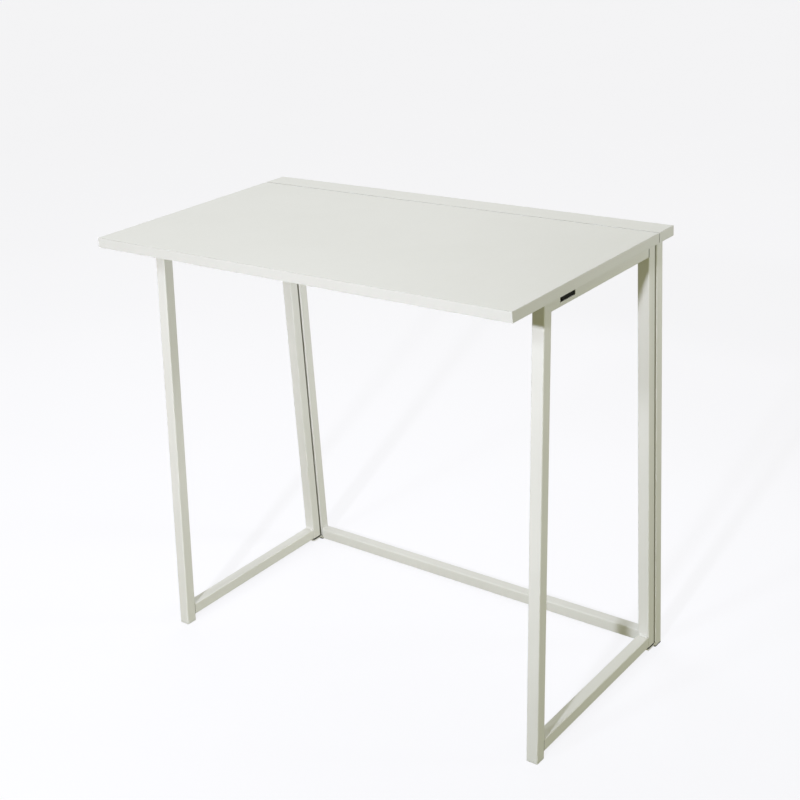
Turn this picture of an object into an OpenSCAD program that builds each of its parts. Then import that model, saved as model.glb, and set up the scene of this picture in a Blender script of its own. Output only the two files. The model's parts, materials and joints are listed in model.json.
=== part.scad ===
// Folding gateleg table. A rear frame stands still and carries a narrow fixed
// strip of the top. Two side gates swing in from it on upright pins, and the
// leaf, hinged to the strip, rests and latches on the gates' top rails.
// Millimetres. +X is right, +Y is back, +Z is up. The origin is on the floor
// under the middle of the top. Every sided piece is drawn on the right and
// mirrored for the left.

/* [Top] */
// Width of the top, left to right
top_w = 800; // [780:10:1000]
// Depth of the top, front to back
top_d = 450; // [430:5:460]
// Height of the top's upper face above the floor
top_h = 740; // [600:5:780]
// Thickness of the board
board_t = 16; // [15:1:22]
// Thickness of the edge band
edge_t = 1; // [0.5:0.5:2]
// Distance from the back edge to the middle of the seam
seam_back = 46; // [44:1:50]
// Width of the seam between the leaf and the strip
seam_w = 1.5; // [1:0.5:3]

/* [Tubing] */
// Outside width of the square tube
tube_w = 20; // [18:1:20]
// Wall thickness of the tube
wall = 1.2; // [1:0.1:2]
// Outside corner radius of the tube
corner_r = 2; // [1.5:0.5:3]

/* [Frame] */
// Overhang of the top past the tubes at each side
side_over = 17; // [10:1:25]
// Overhang of the top past the rear frame at the back
back_over = 2; // [0:1:4]
// Gap between a gate's rear post and the rear frame
post_gap = 5; // [5:1:8]
// Overhang of the top past a gate's leg, measured at the board
leg_top_over = 105; // [95:5:120]
// Overhang of the top past a gate's leg, measured at the floor
leg_foot_over = 50; // [45:5:90]
// Space between the board and the gates
gate_drop = 5; // [5:0.5:6]
// Height of a gate's bottom rail above the floor
gate_lift = 12; // [12:1:40]
// Height of the rear frame's bottom rail above the floor
bar_lift = 2; // [1:0.5:5]
// Height of the plastic foot under each front leg
foot_h = 4; // [2:0.5:8]

/* [Gate pivots] */
// Radius of the pivot pins
pin_r = 4; // [3:0.5:5]
// Radial clearance of a pin in its bush
pin_fit = 0.05; // [0.02:0.01:0.1]
// Thickness of the pivot plates
plate_t = 3; // [2:0.5:3]
// Thickness of the bottom bush's flange
flange_t = 2.9; // [2:0.1:3]
// Height of a plug inside its tube
plug_h = 20; // [15:1:30]

/* [Leaf hinges] */
// Distance of each hinge from the middle of the table
hinge_x = 250; // [120:10:300]
// Length of a hinge along the seam
hinge_w = 60; // [50:5:80]
// Thickness of a hinge plate
hinge_t = 1.5; // [1:0.25:1.5]
// Outside radius of a hinge knuckle
knuckle_r = 2.8; // [2.5:0.1:3]
// Radius of a hinge pin
hinge_pin_r = 1.25; // [1:0.05:1.4]
// Distance that a hinge plate reaches from the seam
hinge_reach = 20; // [18:1:22]

/* [Leaf catches] */
// Distance from the top's front edge to a gate's notch
notch_front = 146; // [140:1:160]
// Length of the notch
notch_len = 40; // [30:1:50]
// Depth of the notch, down from the rail's top
notch_h = 13; // [10:1:14]
// Depth of the notch, in from the rail's outer face
notch_in = 9; // [8:0.5:10]
// Clearance between a catch's tongue and the notch
catch_fit = 0.8; // [0.5:0.1:1]

/* [Hidden] */
$fn = 48;

// Colours
white_paint = [0.90, 0.90, 0.87];
white_board = [0.93, 0.93, 0.91];
white_plastic = [0.86, 0.86, 0.83];
black_plastic = [0.09, 0.09, 0.09];
black_rubber = [0.05, 0.05, 0.05];
zinc = [0.75, 0.76, 0.78];

// The tube's bore
bore_w = tube_w - 2 * wall;
bore_r = corner_r - wall;

// Levels
under = top_h - board_t;
gate_top = under - gate_drop;
leg_cap_t = 1.5;
glide_h = bar_lift;
slip = 0.1;
plate_bottom_z = gate_lift - flange_t - slip - plate_t;
plate_top_z = under - plate_t;
gate_top_flange = plate_top_z - slip - gate_top;

// Places across and along the table
post_x = top_w / 2 - side_over - tube_w / 2;
rear_y = top_d / 2 - back_over - tube_w / 2;
gate_y = rear_y - tube_w - post_gap;
gate_face_y = gate_y - tube_w / 2;
rear_face_y = rear_y - tube_w / 2;
seam_y = top_d / 2 - seam_back;
foot_y = leg_foot_over - top_d / 2;
lean_run = leg_top_over - leg_foot_over;
lean_a = atan(lean_run / under);

// Pins
pin_above_plate = 25;

// Hinges: the knuckles' axis lies level with the plates' lower face
hinge_z = under - hinge_t;
knuckle_gap = 0.1;
knuckle_third = hinge_w / 6;
knuckle_room = 0.4;
hinge_pin_fit = 0.05;

// Small screws: hinges and catches
screw_r = 1.6;
screw_head_r = 3.2;
screw_head_h = 1.4;
screw_depth = 11;
hinge_screw_y = 13;
hinge_screw_step = 20;

// Screws that hold the strip to the rear frame
frame_screw_r = 2;
frame_screw_head_r = 4;
frame_screw_head_h = 2.2;
frame_screw_depth = 10;
frame_screw_xs = [-300, -100, 100, 300];

// Catches and bumpers
pad_slip = 0.2;
pad_t = gate_drop - pad_slip;
notch_y = notch_front - top_d / 2;
tongue_front_gap = 4;
catch_side = 3;
catch_x0 = post_x - tube_w / 2 + 1;
catch_x1 = post_x + tube_w / 2 - catch_fit;
catch_screw_x = catch_x0 + 5;
catch_screw_inset = 7;
bumper_r = 6;
bumper_ys = [-108, 70];

// Puts a right-hand piece on the right (1) or mirrors it to the left (-1)
module on_side(side) {
    if (side < 0)
        mirror([1, 0, 0]) children();
    else
        children();
}

// Square with rounded corners, centred
module rounded_square(w, r) {
    union() {
        square([w, w - 2 * r], center = true);
        square([w - 2 * r, w], center = true);
        for (x = [-1, 1], y = [-1, 1])
            translate([x * (w / 2 - r), y * (w / 2 - r)])
                circle(r = r);
    }
}

module tube(len) {
    linear_extrude(len)
        difference() {
            rounded_square(tube_w, corner_r);
            rounded_square(bore_w, bore_r);
        }
}

module outer_bar(len) {
    linear_extrude(len) rounded_square(tube_w, corner_r);
}

module bore_bar(len) {
    linear_extrude(len) rounded_square(bore_w, bore_r);
}

// A level slice of space around one gate's front leg
module leg_slice(z0, z1) {
    translate([post_x - tube_w, foot_y - tube_w, z0])
        cube([2 * tube_w, lean_run + 4 * tube_w, z1 - z0]);
}

// Leans its child back about the leg's front face at the floor
module lean() {
    translate([post_x, foot_y, 0]) rotate([-lean_a, 0, 0]) children();
}

// The space in front of the leg's rear face, where no rail goes
module leg_room() {
    lean()
        translate([-tube_w, -tube_w, -tube_w])
            cube([2 * tube_w, 2 * tube_w, top_h + 2 * tube_w]);
}

// Rail of a gate, from the leg's rear face to the rear post's front face
module gate_rail(z) {
    start = foot_y + z * tan(lean_a) + tube_w / 2;
    difference() {
        translate([post_x, start, z + tube_w / 2])
            rotate([-90, 0, 0])
                tube(gate_face_y - start);
        leg_room();
    }
}

// Countersunk screw, point up, with its head's face at z = 0. It holds a
// piece of the given thickness.
module small_screw(held_t) {
    union() {
        cylinder(r1 = screw_head_r, r2 = screw_r, h = screw_head_h);
        cylinder(r = screw_r, h = held_t + screw_depth);
    }
}

module small_screw_hole() {
    translate([0, 0, -1]) cylinder(r = screw_r, h = screw_depth + 1);
}

// ---- Rear frame ----

module rear_post(side) {
    color(white_paint)
        on_side(side)
            translate([post_x, rear_y, bar_lift])
                tube(plate_top_z - bar_lift);
}

module rear_rail(z) {
    half = post_x - tube_w / 2;
    translate([-half, rear_y, z + tube_w / 2])
        rotate([0, 90, 0])
            tube(2 * half);
}

module rear_top_rail() {
    color(white_paint)
        difference() {
            rear_rail(under - tube_w);
            for (x = frame_screw_xs)
                translate([x, rear_y, under - tube_w - 1])
                    cylinder(r = frame_screw_r, h = tube_w + 2);
        }
}

module rear_bottom_rail() {
    color(white_paint) rear_rail(bar_lift);
}

// Lies on the rear post's end and reaches forward over the gate's post
module pivot_plate_top(side) {
    color(white_paint)
        on_side(side)
            difference() {
                translate([post_x - tube_w / 2, gate_face_y, plate_top_z])
                    cube([tube_w, rear_y + tube_w / 2 - gate_face_y, plate_t]);
                translate([post_x, gate_y, plate_top_z - 1])
                    cylinder(r = pin_r, h = plate_t + 2);
            }
}

// Stands out of the rear post's front face under the gate's post
module pivot_plate_bottom(side) {
    color(white_paint)
        on_side(side)
            difference() {
                translate([post_x - tube_w / 2, gate_face_y, plate_bottom_z])
                    cube([tube_w, rear_face_y - gate_face_y, plate_t]);
                translate([post_x, gate_y, plate_bottom_z - 1])
                    cylinder(r = pin_r, h = plate_t + 2);
            }
}

module pivot_pin_top(side) {
    color(zinc)
        on_side(side)
            translate([post_x, gate_y, plate_top_z - pin_above_plate])
                cylinder(r = pin_r, h = plate_t + pin_above_plate);
}

module pivot_pin_bottom(side) {
    color(zinc)
        on_side(side)
            translate([post_x, gate_y, plate_bottom_z])
                cylinder(r = pin_r, h = plate_t + pin_above_plate);
}

// Glide: a flange under the tube's end and a plug inside it
module rear_foot(side) {
    color(black_plastic)
        on_side(side)
            translate([post_x, rear_y, 0])
                union() {
                    outer_bar(glide_h);
                    bore_bar(glide_h + plug_h);
                }
}

// ---- Top ----

// A level board between two depths, with its sides set in by the inset
module board(y0, y1, inset) {
    translate([inset - top_w / 2, y0 + inset, under])
        cube([top_w - 2 * inset, y1 - y0 - 2 * inset, board_t]);
}

module edge_band(y0, y1) {
    difference() {
        board(y0, y1, 0);
        translate([0, 0, -1]) board(y0, y1, edge_t);
        translate([0, 0, 1]) board(y0, y1, edge_t);
    }
}

module for_hinges() {
    for (side = [-1, 1])
        translate([side * hinge_x, seam_y, 0])
            children();
}

// Relief in the boards' lower corners that clears the knuckles
module knuckle_relief() {
    room = knuckle_r + knuckle_room;
    for_hinges()
        translate([-hinge_w / 2 - knuckle_room, -room, hinge_z])
            cube([hinge_w + 2 * knuckle_room, 2 * room, room]);
}

// Holes or screws of one row of hinge plates: 1 is the strip, -1 the leaf
module hinge_screw_row(dir, z) {
    for_hinges()
        for (i = [-1:1])
            translate([i * hinge_screw_step, dir * hinge_screw_y, z])
                children();
}

module strip_panel() {
    color(white_board)
        difference() {
            board(seam_y + seam_w / 2, top_d / 2, edge_t);
            knuckle_relief();
            hinge_screw_row(1, under) small_screw_hole();
            for (x = frame_screw_xs)
                translate([x, rear_y, under - 1])
                    cylinder(r = frame_screw_r, h = frame_screw_depth + 1);
        }
}

module strip_edging() {
    color(white_board)
        difference() {
            edge_band(seam_y + seam_w / 2, top_d / 2);
            knuckle_relief();
        }
}

module strip_screws() {
    color(zinc)
        for (x = frame_screw_xs)
            translate([x, rear_y, under - tube_w])
                union() {
                    translate([0, 0, -frame_screw_head_h])
                        cylinder(r = frame_screw_head_r, h = frame_screw_head_h);
                    cylinder(r = frame_screw_r, h = tube_w + frame_screw_depth);
                }
}

module leaf_panel() {
    color(white_board)
        difference() {
            board(-top_d / 2, seam_y - seam_w / 2, edge_t);
            knuckle_relief();
            hinge_screw_row(-1, under) small_screw_hole();
            for_catch_screws(under) small_screw_hole();
        }
}

module leaf_edging() {
    color(white_board)
        difference() {
            edge_band(-top_d / 2, seam_y - seam_w / 2);
            knuckle_relief();
        }
}

// ---- Leaf hinges ----

// One half of a butt hinge. dir is 1 towards the strip and -1 towards the
// leaf, and spans are the stretches of knuckle that belong to this half.
module hinge_half(side, dir, spans, hole_r) {
    near = knuckle_r + knuckle_room;
    translate([side * hinge_x, seam_y, hinge_z])
        difference() {
            union() {
                translate([-hinge_w / 2, dir > 0 ? near : -hinge_reach, 0])
                    cube([hinge_w, hinge_reach - near, hinge_t]);
                for (s = spans)
                    translate([s[0], 0, 0])
                        union() {
                            rotate([0, 90, 0])
                                cylinder(r = knuckle_r, h = s[1] - s[0]);
                            translate([0, dir > 0 ? 0 : -near - 1, 0])
                                cube([s[1] - s[0], near + 1, hinge_t]);
                        }
            }
            translate([-hinge_w / 2 - 1, 0, 0])
                rotate([0, 90, 0])
                    cylinder(r = hole_r, h = hinge_w + 2);
            for (i = [-1:1])
                translate([i * hinge_screw_step, dir * hinge_screw_y, 0])
                    small_screw(hinge_t);
        }
}

module hinge_fixed(side) {
    inner = knuckle_third + knuckle_gap;
    color(zinc)
        hinge_half(side, 1, [[-hinge_w / 2, -inner], [inner, hinge_w / 2]], hinge_pin_r);
}

module hinge_moving(side) {
    color(zinc)
        hinge_half(side, -1, [[-knuckle_third, knuckle_third]], hinge_pin_r + hinge_pin_fit);
}

module hinge_pin(side) {
    color(zinc)
        translate([side * hinge_x - hinge_w / 2, seam_y, hinge_z])
            rotate([0, 90, 0])
                cylinder(r = hinge_pin_r, h = hinge_w);
}

module hinge_screws(dir) {
    color(zinc)
        hinge_screw_row(dir, hinge_z) small_screw(hinge_t);
}

// ---- Gates ----

module gate_post(side) {
    color(white_paint)
        on_side(side)
            translate([post_x, gate_y, gate_lift])
                tube(gate_top - gate_lift);
}

module gate_leg(side) {
    color(white_paint)
        on_side(side)
            intersection() {
                lean()
                    translate([0, tube_w / 2, -tube_w])
                        tube(top_h + 2 * tube_w);
                leg_slice(foot_h, gate_top - leg_cap_t);
            }
}

// Flange over one end of the leaning leg, with a plug inside the tube
module leg_end(flange_z0, flange_z1, plug_z0, plug_z1) {
    union() {
        intersection() {
            lean()
                translate([0, tube_w / 2, -tube_w])
                    outer_bar(top_h + 2 * tube_w);
            leg_slice(flange_z0, flange_z1);
        }
        intersection() {
            lean()
                translate([0, tube_w / 2, -tube_w])
                    bore_bar(top_h + 2 * tube_w);
            leg_slice(plug_z0, plug_z1);
        }
    }
}

module gate_foot(side) {
    color(white_plastic)
        on_side(side)
            leg_end(0, foot_h, 0, foot_h + plug_h);
}

module gate_leg_cap(side) {
    color(white_plastic)
        on_side(side)
            leg_end(gate_top - leg_cap_t, gate_top, gate_top - leg_cap_t - plug_h, gate_top);
}

module gate_top_rail(side) {
    color(white_paint)
        on_side(side)
            difference() {
                gate_rail(gate_top - tube_w);
                translate([post_x + tube_w / 2 - notch_in, notch_y, gate_top - notch_h])
                    cube([notch_in + 1, notch_len, notch_h + 1]);
            }
}

module gate_bottom_rail(side) {
    color(white_paint)
        on_side(side)
            gate_rail(gate_lift);
}

// Bush: a plug in the end of the gate's post with a flange outside it
module bush(flange_z, flange, plug_z) {
    color(black_plastic)
        translate([post_x, gate_y, 0])
            difference() {
                union() {
                    translate([0, 0, flange_z]) outer_bar(flange);
                    translate([0, 0, plug_z]) bore_bar(plug_h + flange);
                }
                translate([0, 0, plug_z - 1])
                    cylinder(r = pin_r + pin_fit, h = plug_h + flange + 2);
            }
}

module gate_bush_top(side) {
    on_side(side) bush(gate_top, gate_top_flange, gate_top - plug_h);
}

module gate_bush_bottom(side) {
    on_side(side) bush(gate_lift - flange_t, flange_t, gate_lift - flange_t);
}

// ---- Catches and bumpers under the leaf ----

module for_catch_screws(z) {
    for (side = [-1, 1])
        on_side(side)
            for (y = [notch_y - catch_side + catch_screw_inset,
                      notch_y + notch_len + catch_side - catch_screw_inset])
                translate([catch_screw_x, y, z])
                    children();
}

// A pad between the leaf and the rail, and a tongue down into the notch
module catch_piece(side) {
    tongue_x = post_x + tube_w / 2 - notch_in + catch_fit;
    tongue_len = notch_len - tongue_front_gap - catch_fit;
    color(black_plastic)
        difference() {
            on_side(side)
                union() {
                    translate([catch_x0, notch_y - catch_side, under - pad_t])
                        cube([catch_x1 - catch_x0, notch_len + 2 * catch_side, pad_t]);
                    translate([tongue_x, notch_y + tongue_front_gap,
                               gate_top - notch_h + catch_fit])
                        cube([catch_x1 - tongue_x, tongue_len, notch_h]);
                }
            for_catch_screws(under - pad_t) small_screw(pad_t);
        }
}

module catch_screws() {
    color(zinc)
        for_catch_screws(under - pad_t) small_screw(pad_t);
}

module leaf_bumpers() {
    color(black_rubber)
        for (side = [-1, 1], y = bumper_ys)
            translate([side * post_x, y, under - pad_t])
                cylinder(r = bumper_r, h = pad_t);
}

rear_post(-1);  // rear_post_left
rear_post(1);  // rear_post_right
rear_top_rail();
rear_bottom_rail();
pivot_plate_top(-1);  // pivot_plate_top_left
pivot_plate_top(1);  // pivot_plate_top_right
pivot_plate_bottom(-1);  // pivot_plate_bottom_left
pivot_plate_bottom(1);  // pivot_plate_bottom_right
pivot_pin_top(-1);  // pivot_pin_top_left
pivot_pin_top(1);  // pivot_pin_top_right
pivot_pin_bottom(-1);  // pivot_pin_bottom_left
pivot_pin_bottom(1);  // pivot_pin_bottom_right
rear_foot(-1);  // rear_foot_left
rear_foot(1);  // rear_foot_right
strip_panel();
strip_edging();
strip_screws();
hinge_fixed(-1);  // hinge_fixed_left
hinge_fixed(1);  // hinge_fixed_right
hinge_pin(-1);  // hinge_pin_left
hinge_pin(1);  // hinge_pin_right
hinge_screws(1);  // hinge_screws_strip
gate_post(-1);  // gate_post_left
gate_leg(-1);  // gate_leg_left
gate_top_rail(-1);  // gate_top_rail_left
gate_bottom_rail(-1);  // gate_bottom_rail_left
gate_foot(-1);  // gate_foot_left
gate_leg_cap(-1);  // gate_leg_cap_left
gate_bush_top(-1);  // gate_bush_top_left
gate_bush_bottom(-1);  // gate_bush_bottom_left
gate_post(1);  // gate_post_right
gate_leg(1);  // gate_leg_right
gate_top_rail(1);  // gate_top_rail_right
gate_bottom_rail(1);  // gate_bottom_rail_right
gate_foot(1);  // gate_foot_right
gate_leg_cap(1);  // gate_leg_cap_right
gate_bush_top(1);  // gate_bush_top_right
gate_bush_bottom(1);  // gate_bush_bottom_right
leaf_panel();
leaf_edging();
hinge_moving(-1);  // hinge_moving_left
hinge_moving(1);  // hinge_moving_right
hinge_screws(-1);  // hinge_screws_leaf
catch_piece(-1);  // catch_left
catch_piece(1);  // catch_right
catch_screws();
leaf_bumpers();
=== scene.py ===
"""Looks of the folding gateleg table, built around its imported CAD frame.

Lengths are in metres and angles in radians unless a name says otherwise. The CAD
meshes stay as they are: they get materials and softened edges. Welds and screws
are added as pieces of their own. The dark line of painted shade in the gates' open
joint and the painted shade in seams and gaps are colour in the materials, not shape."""
import json
import math
import random

import bmesh
import bpy
from mathutils import Matrix, Vector


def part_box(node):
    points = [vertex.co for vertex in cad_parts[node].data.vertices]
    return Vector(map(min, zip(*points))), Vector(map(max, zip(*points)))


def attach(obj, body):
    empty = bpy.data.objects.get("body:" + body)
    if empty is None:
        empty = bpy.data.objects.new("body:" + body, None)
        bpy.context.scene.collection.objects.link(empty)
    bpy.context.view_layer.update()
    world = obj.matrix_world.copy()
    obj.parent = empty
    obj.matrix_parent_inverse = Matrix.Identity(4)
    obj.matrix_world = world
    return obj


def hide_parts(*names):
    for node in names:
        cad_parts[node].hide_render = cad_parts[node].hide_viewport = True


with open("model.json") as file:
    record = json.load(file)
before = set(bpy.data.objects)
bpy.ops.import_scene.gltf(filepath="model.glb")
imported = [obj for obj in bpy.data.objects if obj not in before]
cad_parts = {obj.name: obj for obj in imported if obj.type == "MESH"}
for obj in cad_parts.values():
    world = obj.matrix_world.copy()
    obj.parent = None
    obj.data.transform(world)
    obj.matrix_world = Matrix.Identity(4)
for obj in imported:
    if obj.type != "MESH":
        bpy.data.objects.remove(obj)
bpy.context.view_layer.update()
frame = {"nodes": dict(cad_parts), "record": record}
nodes = frame["nodes"]
scene = bpy.context.scene


# ---------------------------------------------------------------- camera
def axes(azimuth, elevation, roll):
    """Right, up and back vectors of a camera; azimuth 0 looks along +Y."""
    back = Vector((math.sin(azimuth) * math.cos(elevation),
                   -math.cos(azimuth) * math.cos(elevation), math.sin(elevation)))
    right = Vector((0, 0, 1)).cross(back).normalized()
    up = back.cross(right)
    c, s = math.cos(roll), math.sin(roll)
    return c * right + s * up, -s * right + c * up, back


def make_camera():
    """The photo's camera. Its values come from a fit to the table's corners and edges."""
    data = bpy.data.cameras.new("camera")
    data.sensor_width = 36  # mm
    data.lens = 62.064  # mm
    data.shift_y = -0.0625
    data.clip_start, data.clip_end = 0.01, 200
    cam = bpy.data.objects.new("camera", data)
    scene.collection.objects.link(cam)
    right, up, back = axes(azimuth=0.67550, elevation=0.35715, roll=-0.06603)
    pose = Matrix((right, up, back)).transposed().to_4x4()
    pose.translation = Vector((1.33037, -1.62084, 1.32190))
    cam.matrix_world = pose
    scene.camera = cam


make_camera()


# ---------------------------------------------------------------- materials
class Graph:
    """A material's node tree, with short calls for the nodes used here."""

    def __init__(self, name):
        self.mat = bpy.data.materials.new(name)
        self.mat.use_nodes = True
        self.tree = self.mat.node_tree
        self.tree.nodes.clear()
        self.shader = self.add("ShaderNodeBsdfPrincipled")
        out = self.add("ShaderNodeOutputMaterial")
        self.link(self.shader.outputs[0], out.inputs["Surface"])
        self.place = self.add("ShaderNodeTexCoord").outputs["Object"]

    def add(self, kind, **props):
        n = self.tree.nodes.new(kind)
        for k, v in props.items():
            setattr(n, k, v)
        return n

    def link(self, a, b):
        self.tree.links.new(a, b)

    def feed(self, socket, value):
        """Links an output to a socket, or sets the socket to a number."""
        if hasattr(value, "is_output"):
            self.link(value, socket)
        else:
            socket.default_value = value

    def stretched(self, scale):
        """Object coordinates with a scale of their own on each axis."""
        n = self.add("ShaderNodeMapping")
        self.link(self.place, n.inputs["Vector"])
        n.inputs["Scale"].default_value = scale
        return n.outputs[0]

    def noise(self, scale, detail=2.0, roughness=0.5, at=None):
        n = self.add("ShaderNodeTexNoise")
        self.link(at or self.place, n.inputs["Vector"])
        n.inputs["Scale"].default_value = scale
        n.inputs["Detail"].default_value = detail
        n.inputs["Roughness"].default_value = roughness
        return n.outputs["Fac"]

    def cells(self, scale, out="Distance"):
        n = self.add("ShaderNodeTexVoronoi")
        self.link(self.place, n.inputs["Vector"])
        n.inputs["Scale"].default_value = scale
        return n.outputs[out]

    def remap(self, value, lo, hi, out_lo=0.0, out_hi=1.0):
        n = self.add("ShaderNodeMapRange")
        self.link(value, n.inputs["Value"])
        for name, v in (("From Min", lo), ("From Max", hi), ("To Min", out_lo), ("To Max", out_hi)):
            n.inputs[name].default_value = v
        return n.outputs[0]

    def math(self, op, a, b=0.0):
        n = self.add("ShaderNodeMath", operation=op)
        self.feed(n.inputs[0], a)
        self.feed(n.inputs[1], b)
        return n.outputs[0]

    def mix(self, fac, a, b):
        n = self.add("ShaderNodeMix", data_type="RGBA")
        self.feed(n.inputs[0], fac)
        self.feed(n.inputs[6], a if hasattr(a, "is_output") else (*a, 1.0))
        self.feed(n.inputs[7], b if hasattr(b, "is_output") else (*b, 1.0))
        return n.outputs[2]

    def edge(self, radius):
        """0 on a flat face, rising to 1 on a convex or concave edge."""
        b = self.add("ShaderNodeBevel", samples=4)
        b.inputs["Radius"].default_value = radius
        g = self.add("ShaderNodeNewGeometry")
        d = self.add("ShaderNodeVectorMath", operation="DOT_PRODUCT")
        self.link(b.outputs[0], d.inputs[0])
        self.link(g.outputs["Normal"], d.inputs[1])
        return self.remap(d.outputs["Value"], 1.0, 0.8)

    def crevice_shade(self, reach, start=0.62, full=0.32):
        """Painted shade: 0 in the open, rising to 1 in joints and gaps narrower than the reach."""
        n = self.add("ShaderNodeAmbientOcclusion", samples=8)
        n.inputs["Distance"].default_value = reach
        return self.remap(n.outputs["AO"], start, full)

    def bump(self, height, strength, distance):
        n = self.add("ShaderNodeBump")
        self.link(height, n.inputs["Height"])
        n.inputs["Strength"].default_value = strength
        n.inputs["Distance"].default_value = distance
        return n.outputs[0]

    def finish(self, color, roughness, normal=None, **constants):
        """Feeds the shader and returns the material. Other inputs are constants."""
        self.feed(self.shader.inputs["Base Color"],
                  color if hasattr(color, "is_output") else (*color, 1.0))
        self.feed(self.shader.inputs["Roughness"], roughness)
        if normal is not None:
            self.link(normal, self.shader.inputs["Normal"])
        for k, v in constants.items():
            self.shader.inputs[k.replace("_", " ")].default_value = v
        return self.mat


def open_joint_shade(g):
    """1 on a line of painted shade for the open joint where each gate's top rail meets its rear
    post. The line has no upper end, so it also crosses the front edge of the top pivot plates above
    it."""
    post_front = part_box("gate_post_right")[0].y
    rail_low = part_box("gate_top_rail_right")[0].z
    parts_of = g.add("ShaderNodeSeparateXYZ")
    g.link(g.place, parts_of.inputs[0])
    into_rail, into_post, above_weld = 0.0010, 0.0014, 0.0002
    past_rail = g.math("GREATER_THAN", parts_of.outputs["Y"], post_front - into_rail)
    before_post = g.math("LESS_THAN", parts_of.outputs["Y"], post_front + into_post)
    rail_height = g.math("GREATER_THAN", parts_of.outputs["Z"], rail_low + above_weld)
    return g.math("MULTIPLY", g.math("MULTIPLY", past_rail, before_post), rail_height)


def frame_paint():
    """Off-white satin powder coat: orange peel, faint cloudiness, thin paint on edges,
    with painted shade in joints and gaps and along the gates' open joint.
    """
    g = Graph("frame_paint")
    cloud = g.noise(7, 3)
    color = g.mix(g.remap(cloud, 0.35, 0.65), (0.800, 0.795, 0.765), (0.770, 0.766, 0.735))
    rub = g.remap(g.noise(60, 4, 0.65), 0.52, 0.64)
    worn = g.math("MULTIPLY", g.edge(0.0007), rub)
    color = g.mix(g.math("MULTIPLY", worn, 0.55), color, (0.56, 0.55, 0.52))
    speck = g.remap(g.cells(170), 0.10, 0.055)
    color = g.mix(g.math("MULTIPLY", speck, 0.16), color, (0.60, 0.585, 0.54))
    # painted shade in joints and gaps: first a tight reach, then a wide one
    color = g.mix(g.math("MULTIPLY", g.crevice_shade(0.003, 0.66, 0.34), 0.85), color, (0.07, 0.066, 0.05))
    color = g.mix(g.math("MULTIPLY", g.crevice_shade(0.014, 0.46, 0.22), 0.65), color, (0.15, 0.14, 0.09))
    # painted shade: a dark line along the gates' open joint
    color = g.mix(g.math("MULTIPLY", open_joint_shade(g), 0.95), color, (0.035, 0.034, 0.026))
    peel = g.noise(620, 2, 0.45)
    rough = g.remap(g.noise(45, 3, 0.6), 0.3, 0.7, 0.36, 0.48)
    return g.finish(color, rough, g.bump(peel, 0.28, 0.00012), Specular_IOR_Level=0.45)


def board_face():
    """White melamine: matt, with a faint short grain pressed along its length,
    and painted shade in its seam.
    """
    g = Graph("board_face")
    cloud = g.noise(3.2, 4, 0.55)
    color = g.mix(g.remap(cloud, 0.3, 0.7), (0.800, 0.800, 0.780), (0.776, 0.776, 0.752))
    fibre = g.noise(1.0, 3, 0.6, g.stretched((90, 1400, 1400)))
    color = g.mix(g.remap(fibre, 0.42, 0.62, 0.0, 0.10), color, (0.62, 0.62, 0.59))
    # painted shade in the seam and other tight gaps
    color = g.mix(g.math("MULTIPLY", g.crevice_shade(0.004, 0.66, 0.42), 0.9), color, (0.10, 0.095, 0.07))
    pearl = g.noise(1500, 2, 0.5)
    height = g.math("ADD", g.math("MULTIPLY", fibre, 0.55), g.math("MULTIPLY", pearl, 0.45))
    rough = g.remap(g.noise(14, 4, 0.6), 0.3, 0.7, 0.34, 0.44)
    return g.finish(color, rough, g.bump(height, 0.22, 0.00010), Specular_IOR_Level=0.45)


def edge_band():
    """White edge band: satin, with drawn lines along it, a faint scuff on its arrises,
    and painted shade in its seam.
    """
    g = Graph("edge_band")
    cloud = g.noise(9, 3)
    color = g.mix(g.remap(cloud, 0.3, 0.7), (0.724, 0.722, 0.700), (0.702, 0.699, 0.674))
    worn = g.math("MULTIPLY", g.edge(0.0006), g.remap(g.noise(80, 3, 0.6), 0.5, 0.66))
    color = g.mix(g.math("MULTIPLY", worn, 0.4), color, (0.60, 0.59, 0.56))
    # painted shade in the seam and other tight gaps
    color = g.mix(g.math("MULTIPLY", g.crevice_shade(0.004, 0.66, 0.42), 0.7), color, (0.10, 0.095, 0.07))
    drawn = g.noise(1.0, 2, 0.5, g.stretched((30, 30, 2600)))
    rough = g.remap(g.noise(50, 3), 0.3, 0.7, 0.30, 0.42)
    return g.finish(color, rough, g.bump(drawn, 0.18, 0.00008), Specular_IOR_Level=0.5)


def moulded(name, dark, light, rough_lo, rough_hi, grain=1100, shine=0.5):
    """Moulded plastic with a spark-eroded grain."""
    g = Graph(name)
    color = g.mix(g.remap(g.noise(40, 3), 0.3, 0.7), dark, light)
    worn = g.math("MULTIPLY", g.edge(0.0005), g.remap(g.noise(120, 3, 0.6), 0.45, 0.62))
    lighter = tuple(min(c * 1.35 + 0.02, 0.9) for c in light)
    color = g.mix(g.math("MULTIPLY", worn, 0.5), color, lighter)
    pits = g.noise(grain, 3, 0.6)
    rough = g.remap(g.noise(90, 3), 0.3, 0.7, rough_lo, rough_hi)
    return g.finish(color, rough, g.bump(pits, 0.35, 0.00009), Specular_IOR_Level=shine)


def zinc_steel():
    """Bright zinc plate: small crystal patches and fine rolling lines."""
    g = Graph("zinc_steel")
    patch = g.cells(260, out="Color")
    sep = g.add("ShaderNodeSeparateColor")
    g.link(patch, sep.inputs[0])
    tone = g.remap(sep.outputs[0], 0.0, 1.0)
    color = g.mix(tone, (0.645, 0.655, 0.675), (0.70, 0.71, 0.725))
    stain = g.remap(g.noise(55, 4, 0.65), 0.5, 0.72)
    color = g.mix(g.math("MULTIPLY", stain, 0.35), color, (0.52, 0.51, 0.49))
    lines = g.noise(1.0, 2, 0.5, g.stretched((200, 5200, 5200)))
    rough = g.remap(g.noise(120, 3), 0.3, 0.7, 0.24, 0.42)
    return g.finish(color, rough, g.bump(lines, 0.16, 0.00005), Metallic=1.0)


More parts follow.
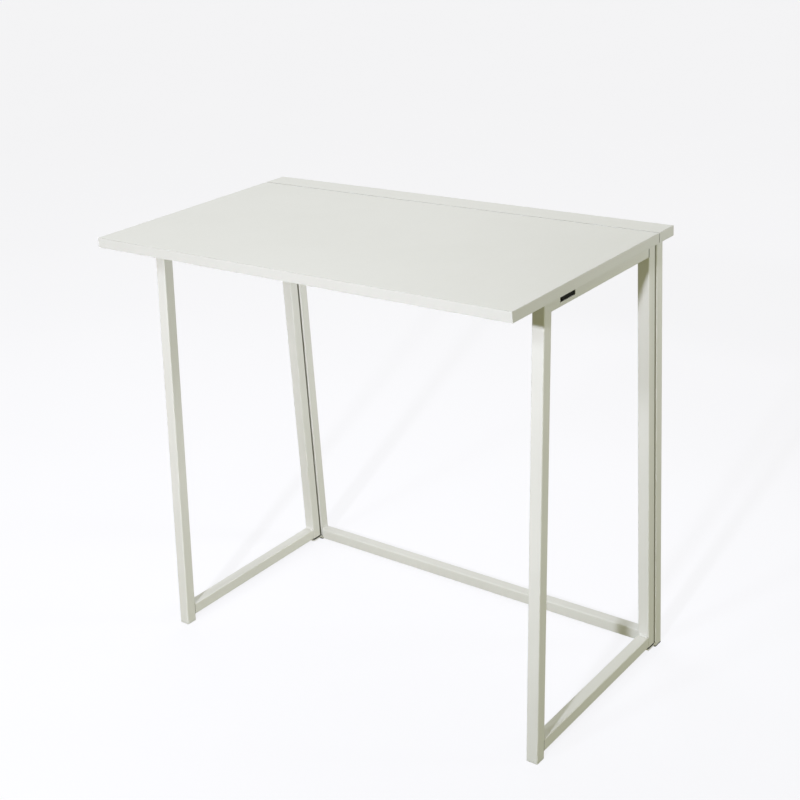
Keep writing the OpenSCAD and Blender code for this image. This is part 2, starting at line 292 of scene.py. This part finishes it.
MATERIALS = {
    "frame_paint": frame_paint(),
    "board_face": board_face(),
    "edge_band": edge_band(),
    "white_plastic": moulded("white_plastic", (0.70, 0.70, 0.67), (0.75, 0.745, 0.715),
                             0.40, 0.52),
    "black_plastic": moulded("black_plastic", (0.007, 0.007, 0.005), (0.012, 0.011, 0.008),
                             0.50, 0.64, shine=0.12),
    "bumper_rubber": moulded("bumper_rubber", (0.012, 0.012, 0.012), (0.022, 0.021, 0.020),
                             0.60, 0.78, grain=700),
    "zinc_steel": zinc_steel(),
}
SLOT_OF = {s["node"]: s["material_slot"] for s in frame["record"]["subparts"]}


# ---------------------------------------------------------------- CAD nodes
BEVELS = {  # metres, by the start of the node's name
    "rear_post": 0.0005, "rear_top_rail": 0.0007, "rear_bottom_rail": 0.0007,
    "gate_post": 0.0005, "gate_leg_cap": 0.0003, "gate_leg": 0.0005,
    "gate_top_rail": 0.0008, "gate_bottom_rail": 0.0008,
    "pivot_plate": 0.0004, "pivot_pin": 0.0004,
    "rear_foot": 0.0004, "gate_foot": 0.0008, "gate_bush": 0.0003,
    "strip_panel": 0.0002, "leaf_panel": 0.0002,
    "strip_edging": 0.0004, "leaf_edging": 0.0004,
    "hinge_fixed": 0.00025, "hinge_moving": 0.00025, "hinge_pin": 0.00015,
    "catch_left": 0.0005, "catch_right": 0.0005, "leaf_bumpers": 0.0006,
}


CREASE = math.radians(35)  # edges sharper than this are rounded and stay creased


def soften(ob, width):
    """Rounds a CAD mesh's sharp edges by a width and shades the rest smooth."""
    custom = ob.data.attributes.get("custom_normal")
    if custom is not None:
        ob.data.attributes.remove(custom)
    weld = ob.modifiers.new("join", "WELD")
    weld.merge_threshold = 2e-6
    flat = ob.modifiers.new("flat_faces", "DECIMATE")
    flat.decimate_type, flat.angle_limit = "DISSOLVE", math.radians(0.6)
    if width:
        b = ob.modifiers.new("soften", "BEVEL")
        b.width, b.segments, b.use_clamp_overlap = width, 2, False
        b.limit_method, b.angle_limit = "ANGLE", CREASE
    split = ob.modifiers.new("creases", "EDGE_SPLIT")
    split.use_edge_sharp, split.split_angle = False, CREASE
    even = ob.modifiers.new("even_shade", "WEIGHTED_NORMAL")
    even.weight, even.keep_sharp = 80, False
    ob.data.polygons.foreach_set("use_smooth", [True] * len(ob.data.polygons))


def dress(name, ob):
    """Gives a CAD node its material and softened edges."""
    ob.data.materials.clear()
    ob.data.materials.append(MATERIALS[SLOT_OF[name]])
    soften(ob, next((w for k, w in BEVELS.items() if name.startswith(k)), 0))


for name, ob in nodes.items():
    dress(name, ob)


# ---------------------------------------------------------------- added pieces
def add_piece(name, bm, slot, body, *replaced):
    """Makes a mesh object that rides on a body and may stand for CAD nodes."""
    bmesh.ops.remove_doubles(bm, verts=bm.verts, dist=1e-6)
    bmesh.ops.recalc_face_normals(bm, faces=bm.faces)
    me = bpy.data.meshes.new(name)
    bm.to_mesh(me)
    bm.free()
    me.polygons.foreach_set("use_smooth", [True] * len(me.polygons))
    me.set_sharp_from_angle(angle=math.radians(40))
    me.materials.append(MATERIALS[slot])
    ob = bpy.data.objects.new(name, me)
    scene.collection.objects.link(ob)
    if replaced:
        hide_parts(*replaced)
    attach(ob, body)
    return ob


def loft(bm, rings):
    """Skins a row of closed rings of equal length and closes both ends."""
    vs = [[bm.verts.new(p) for p in ring] for ring in rings]
    n = len(vs[0])
    for a, b in zip(vs, vs[1:]):
        for i in range(n):
            bm.faces.new((a[i], a[(i + 1) % n], b[(i + 1) % n], b[i]))
    bm.faces.new(vs[0][::-1])
    bm.faces.new(vs[-1])


WELD_LEG = 0.0026  # of a bead in a corner of two tubes
LEG_FRONT = -0.175  # the gate leg's front face at the floor
LEG_SLOPE = 0.055 / 0.724  # how far it leans back per metre of height
TUBE = 0.020
END_GAP = 0.0022  # between a bead's end and the tube's side


def bead(bm, a, b, up, out, size, rng):
    """A fillet weld from a to b in the corner of two walls. up and out are the
    walls' outward directions, and size is the weld's leg length."""
    a, b, up, out = Vector(a), Vector(b), Vector(up).normalized(), Vector(out).normalized()
    length = (b - a).length
    along = (b - a) / length
    ring_step, arc, run_out, ripple = 0.00035, 9, 0.0016, 0.0013
    steps = int(length / ring_step)
    pitch = ripple * (1 + 0.15 * (rng.random() - 0.5))
    phase = rng.random()
    wobble = [rng.uniform(-1, 1) for _ in range(int(length / pitch) + 4)]
    rings = []
    for i in range(steps + 1):
        s = length * i / steps
        end = min(s, length - s) / run_out
        taper = 0.35 + 0.65 * math.sin(min(end, 1) * math.pi / 2)
        ring = []
        for k in range(arc):
            t = k / (arc - 1) * math.pi / 2
            crest = (s - 0.0007 * math.sin(2 * t)) / pitch + phase
            step = crest % 1.0
            r = 0.5 / (math.cos(t) + math.sin(t)) + 0.5
            r *= 1 + 0.05 * wobble[int(crest) % len(wobble)]
            if 0 < k < arc - 1:
                r *= 0.93 + 0.10 * math.sqrt(max(1 - step, 0)) * math.sin(2 * t) ** 0.5
            ring.append(a + along * s + (up * math.cos(t) + out * math.sin(t)) * (r * size * taper))
        ring.append(a + along * s - (up + out) * 0.0003)
        rings.append(ring)
    loft(bm, rings)


def flush_joint(bm, face_x, inward, rear_at, z0, z1):
    """Weld metal ground level with the side face where a rail meets the leg."""
    rings = []
    for z in (z0, z1):
        y = rear_at(z)
        outer, inner = face_x + inward * 0.00002, face_x + inward * 0.0019
        rings.append([(outer, y - 0.0021, z), (outer, y + 0.0009, z),
                      (inner, y + 0.0002, z), (inner, y - 0.0002, z)])
    loft(bm, rings)


def weld_gate(side):
    """Beads in one gate's inner corners, and ground weld where its top rail meets the leg."""
    word = "right" if side > 0 else "left"
    rail_lo, rail_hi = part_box("gate_bottom_rail_" + word)
    top_lo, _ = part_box("gate_top_rail_" + word)
    leg_lo, leg_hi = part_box("gate_leg_" + word)
    post_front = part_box("gate_post_" + word)[0].y
    x0, x1 = rail_lo.x + END_GAP, rail_hi.x - END_GAP
    depth = TUBE * math.sqrt(1 + LEG_SLOPE * LEG_SLOPE)

    def leg_rear(z):
        return LEG_FRONT + LEG_SLOPE * z + depth

    leg_out = (0, 1, -LEG_SLOPE)
    rng = random.Random(11 if side > 0 else 23)
    bm = bmesh.new()
    corners = [(rail_hi.z, 1), (rail_lo.z, -1), (top_lo.z, -1)]
    for z, up in corners:
        bead(bm, (x0, leg_rear(z), z), (x1, leg_rear(z), z), (0, 0, up), leg_out, WELD_LEG, rng)
        if z != rail_lo.z:
            bead(bm, (x1, post_front, z), (x0, post_front, z), (0, 0, up), (0, -1, 0),
                 WELD_LEG, rng)
        if z == top_lo.z:
            top_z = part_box("gate_top_rail_" + word)[1].z
            for face, inward in ((rail_hi.x, -1), (rail_lo.x, 1)):
                flush_joint(bm, face, inward, leg_rear, z + 0.0021, top_z - 0.0021)
    add_piece("weld_beads_gate_" + word, bm, "frame_paint", "gate_" + word)


def weld_frame():
    """Beads in the rear frame's inner corners and along its pivot plates."""
    rng = random.Random(37)
    bm = bmesh.new()
    for side, word in ((-1, "left"), (1, "right")):
        lo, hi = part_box("rear_post_" + word)
        inner = lo.x if side > 0 else hi.x
        low_rail, top_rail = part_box("rear_bottom_rail"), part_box("rear_top_rail")
        for z, up in ((low_rail[1].z, 1), (top_rail[0].z, -1)):
            bead(bm, (inner, lo.y + END_GAP, z), (inner, hi.y - END_GAP, z), (0, 0, up),
                 (-side, 0, 0), WELD_LEG, rng)
        for level, leg in (("bottom_", 0.0020), ("top_", 0.0012)):
            plate, plate_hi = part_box("pivot_plate_" + level + word)
            start = (plate.x + 0.002, lo.y, plate.z)
            end = (plate_hi.x - 0.002, lo.y, plate.z)
            bead(bm, start, end, (0, 0, -1), (0, -1, 0), leg, rng)
    add_piece("weld_beads_rear_frame", bm, "frame_paint", "rear_frame")


def cross_head(bm, x, y, z, profile, arm, depth, turn):
    """A screw, point up, with its cross recess in the face at its lower end.
    profile lists (radius, height above z) from the face's rim to the tip."""
    n = 32  # points round the screw
    vs = []
    for r, h in profile:
        vs.append([bm.verts.new((x + r * math.cos(2 * math.pi * i / n),
                                 y + r * math.sin(2 * math.pi * i / n), z + h)) for i in range(n)])
    for a, b in zip(vs, vs[1:]):
        for i in range(n):
            bm.faces.new((a[i], a[(i + 1) % n], b[(i + 1) % n], b[i]))
    bm.faces.new(vs[-1])
    w, c, s = arm * 0.24, math.cos(turn), math.sin(turn)
    outline = []
    for q in range(4):
        cq, sq = math.cos(q * math.pi / 2), math.sin(q * math.pi / 2)
        for px, py in ((arm, -w), (arm, w), (w, w)):
            ax, ay = px * cq - py * sq, px * sq + py * cq
            outline.append((ax * c - ay * s, ax * s + ay * c))
    top = [bm.verts.new((x + px, y + py, z)) for px, py in outline]
    low = [bm.verts.new((x + px * 0.55, y + py * 0.55, z + depth)) for px, py in outline]
    m = len(top)
    for i in range(m):
        bm.faces.new((top[i], top[(i + 1) % m], low[(i + 1) % m], low[i]))
    bm.faces.new(low)
    rim = [bm.edges.get((vs[0][i], vs[0][(i + 1) % n])) for i in range(n)]
    hole = [bm.edges.get((top[i], top[(i + 1) % m])) for i in range(m)]
    bmesh.ops.triangle_fill(bm, use_beauty=True, use_dissolve=False, edges=rim + hole)


def screw_centres(node):
    """Finds each screw of a CAD node from the loose parts of its mesh."""
    bm = bmesh.new()
    bm.from_mesh(nodes[node].data)
    bmesh.ops.remove_doubles(bm, verts=bm.verts, dist=2e-6)
    todo, found = set(bm.verts), []
    while todo:
        stack, part = [todo.pop()], []
        while stack:
            v = stack.pop()
            part.append(v.co.copy())
            for e in v.link_edges:
                w = e.other_vert(v)
                if w in todo:
                    todo.remove(w)
                    stack.append(w)
        xs, ys, zs = zip(*part)
        found.append(((min(xs) + max(xs)) / 2, (min(ys) + max(ys)) / 2, min(zs), max(zs)))
    bm.free()
    return sorted(found)


SUNK_HEAD = {
    "profile": [(0.00300, 0.0), (0.00314, 0.00008), (0.00318, 0.00018), (0.0016, 0.0014)],
    "shank": 0.0016, "shank_from": 0.0016, "arm": 0.0018, "depth": 0.0011,
}
PAN_HEAD = {
    "profile": [(0.0023, 0.0), (0.0030, 0.00016), (0.0035, 0.00045), (0.00385, 0.0010),
                (0.0040, 0.0017), (0.0040, 0.00205), (0.0039, 0.0022), (0.0020, 0.0022)],
    "shank": 0.0020, "shank_from": 0.0024, "arm": 0.0019, "depth": 0.0012,
}


def make_screws(node, body, head, seed):
    """Replaces a CAD node's plain screws by threaded ones with a cross recess."""
    rng = random.Random(seed)
    bm = bmesh.new()
    for x, y, z, top in screw_centres(node):
        turn = rng.uniform(0, math.pi / 2)
        profile = head["profile"] + threads(head["shank"], head["shank_from"], top - z)
        cross_head(bm, x, y, z, profile, head["arm"], head["depth"], turn)
    add_piece(node + "_detailed", bm, "zinc_steel", body, node)


def threads(radius, start, end):
    """Rings of a screw's shank up to its point."""
    rows, h, pitch, root, taper = [], start, 0.0011, 0.78, 0.003
    while h < end - taper:
        rows += [(radius, h), (radius * root, h + pitch * 0.5)]
        h += pitch
    tip = [(radius * 0.9, end - taper), (radius * 0.35, end - 0.0008), (radius * 0.08, end)]
    return rows + tip


weld_gate(-1)
weld_gate(1)
weld_frame()
make_screws("hinge_screws_strip", "rear_frame", SUNK_HEAD, 5)
make_screws("hinge_screws_leaf", "leaf", SUNK_HEAD, 6)
make_screws("catch_screws", "leaf", SUNK_HEAD, 7)
make_screws("strip_screws", "rear_frame", PAN_HEAD, 8)


# ---------------------------------------------------------------- light and floor
def lamp(name, kind, at, target, front, size, cone=0, blend=0):
    """A point, spot or square area lamp. front is the light that it gives a face
    square to it at 3 m, and cone is a spot's full angle in degrees."""
    reach = 3.0
    data = bpy.data.lights.new(name, kind)
    peak = max(max(front), 1e-6)
    data.color = tuple(c / peak for c in front)
    if kind == "AREA":
        data.energy = peak * math.pi ** 2 * reach ** 2
        data.shape, data.size = "SQUARE", size
    else:
        data.energy = peak * 4 * math.pi ** 2 * reach ** 2
        data.shadow_soft_size = size
    if kind == "SPOT":
        data.spot_size, data.spot_blend = math.radians(cone), blend
    ob = bpy.data.objects.new(name, data)
    scene.collection.objects.link(ob)
    ob.location = at
    ob.rotation_euler = (Vector(at) - Vector(target)).to_track_quat("Z", "Y").to_euler()


def world_light(lobes):
    """Soft light from all round: a sum of lobes (direction, power, colour)."""
    world = bpy.data.worlds.new("studio")
    scene.world = world
    world.use_nodes = True
    t = world.node_tree
    t.nodes.clear()
    coord = t.nodes.new("ShaderNodeTexCoord")
    total = None
    for direction, power, color in lobes:
        dot = t.nodes.new("ShaderNodeVectorMath")
        dot.operation = "DOT_PRODUCT"
        t.links.new(coord.outputs["Generated"], dot.inputs[0])
        dot.inputs[1].default_value = direction
        top = t.nodes.new("ShaderNodeMath")
        top.operation = "MAXIMUM"
        t.links.new(dot.outputs["Value"], top.inputs[0])
        top.inputs[1].default_value = 0.0001
        up = t.nodes.new("ShaderNodeMath")
        up.operation = "POWER"
        t.links.new(top.outputs[0], up.inputs[0])
        up.inputs[1].default_value = power
        part = t.nodes.new("ShaderNodeVectorMath")
        part.operation = "SCALE"
        part.inputs[0].default_value = color
        t.links.new(up.outputs[0], part.inputs["Scale"])
        if total is None:
            total = part.outputs[0]
        else:
            add = t.nodes.new("ShaderNodeVectorMath")
            t.links.new(total, add.inputs[0])
            t.links.new(part.outputs[0], add.inputs[1])
            total = add.outputs[0]
    back = t.nodes.new("ShaderNodeBackground")
    out = t.nodes.new("ShaderNodeOutputWorld")
    t.links.new(total, back.inputs[0])
    t.links.new(back.outputs[0], out.inputs[0])


# The colours in LOBES and LAMPS were worked out by another script, as a least-squares
# fit to tones of the photo, and then scaled a little.
LOBES = [  # direction that the light comes from, power of its cosine, colour
    ((0, 0, -1), 0.15, (0.189, 0.189, 0.102)),
    ((1, 0, 0), 1.0, (0.248, 0.266, 0.251)),
    ((-0.62, 0.78, 0), 1.0, (0.530, 0.580, 0.734)),
    ((0, 0, 1), 0.15, (0.170, 0.144, 0.000)),
]
KEY_AT = (0.81, -3.10, 1.89)  # ahead, a little to the right, about 20 degrees above the top
LAMPS = [  # name, kind, place, target, light at 3 m, size, then a spot's cone and blend
    ("key", "POINT", KEY_AT, (0, 0, 0.45), (0.477, 0.514, 0.617), 0.085),
    ("key_core", "SPOT", KEY_AT, (-0.45, 0.25, 0.70), (0.490, 0.459, 0.498), 0.085, 46, 1.0),
    ("second", "POINT", (-0.60, -3.20, 2.65), (0, 0, 0.45), (0.299, 0.318, 0.360), 0.25),
    ("side", "SPOT", (3.2, 2.0, 2.2), (-0.45, 0.20, 0.65), (0.644, 0.654, 0.759), 0.60, 30, 1.0),
    ("top_fill", "AREA", (-1.00, 0.90, 2.40), (-0.3, 0.1, 0.70), (0.107, 0.109, 0.127), 1.4),
]
world_light(LOBES)
for row in LAMPS:
    lamp(*row)


def floor():
    """A pale floor that takes shadows and sends no light back to the table."""
    bm = bmesh.new()
    bmesh.ops.create_circle(bm, cap_ends=True, segments=96, radius=30)
    me = bpy.data.meshes.new("floor")
    bm.to_mesh(me)
    bm.free()
    ob = bpy.data.objects.new("floor", me)
    scene.collection.objects.link(ob)
    g = Graph("floor")
    color = g.mix(g.remap(g.noise(1.5, 3), 0.3, 0.7), (0.18, 0.18, 0.178), (0.17, 0.17, 0.168))
    g.shader.inputs["Emission Color"].default_value = (0.99, 0.99, 1.03, 1)
    me.materials.append(g.finish(color, 0.8, Specular_IOR_Level=0.2, Emission_Strength=0.82))
    ob.visible_diffuse = ob.visible_glossy = ob.visible_shadow = False


def backdrop():
    """A pale dome that only the camera sees."""
    bm = bmesh.new()
    bmesh.ops.create_uvsphere(bm, u_segments=48, v_segments=24, radius=29)
    me = bpy.data.meshes.new("backdrop")
    bm.to_mesh(me)
    bm.free()
    ob = bpy.data.objects.new("backdrop", me)
    scene.collection.objects.link(ob)
    g = Graph("backdrop")
    glow = g.add("ShaderNodeEmission")
    glow.inputs["Color"].default_value = (0.90, 0.90, 0.895, 1)
    out = next(n for n in g.tree.nodes if n.type == "OUTPUT_MATERIAL")
    g.link(glow.outputs[0], out.inputs["Surface"])
    me.materials.append(g.mat)
    for ray in ("diffuse", "glossy", "transmission", "volume_scatter", "shadow"):
        setattr(ob, "visible_" + ray, False)


floor()
backdrop()
scene.view_settings.view_transform = "Standard"
scene.view_settings.look = "None"
